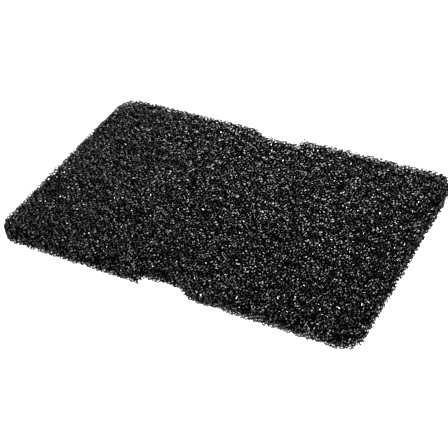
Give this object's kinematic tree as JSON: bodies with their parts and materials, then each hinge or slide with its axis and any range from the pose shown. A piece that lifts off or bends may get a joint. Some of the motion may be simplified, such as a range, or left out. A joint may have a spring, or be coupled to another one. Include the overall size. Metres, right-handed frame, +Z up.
{
  "type": "foam air filter element",
  "caption": "Flat rectangular pad of black open-cell foam with rounded corners and a shallow notch in each long side; an air filter element that drops into a frame.",
  "frame": {"origin": "centre of the pad's underside, where it rests", "axes": "+X along the long sides, +Y across the pad, +Z up through its thickness"},
  "size_m": [0.24, 0.15, 0.011],
  "materials": {
    "foam": "black open-cell foam, satin struts"
  },
  "bodies": {
    "root": {"foam_pad": "foam"}
  },
  "joints": []
}
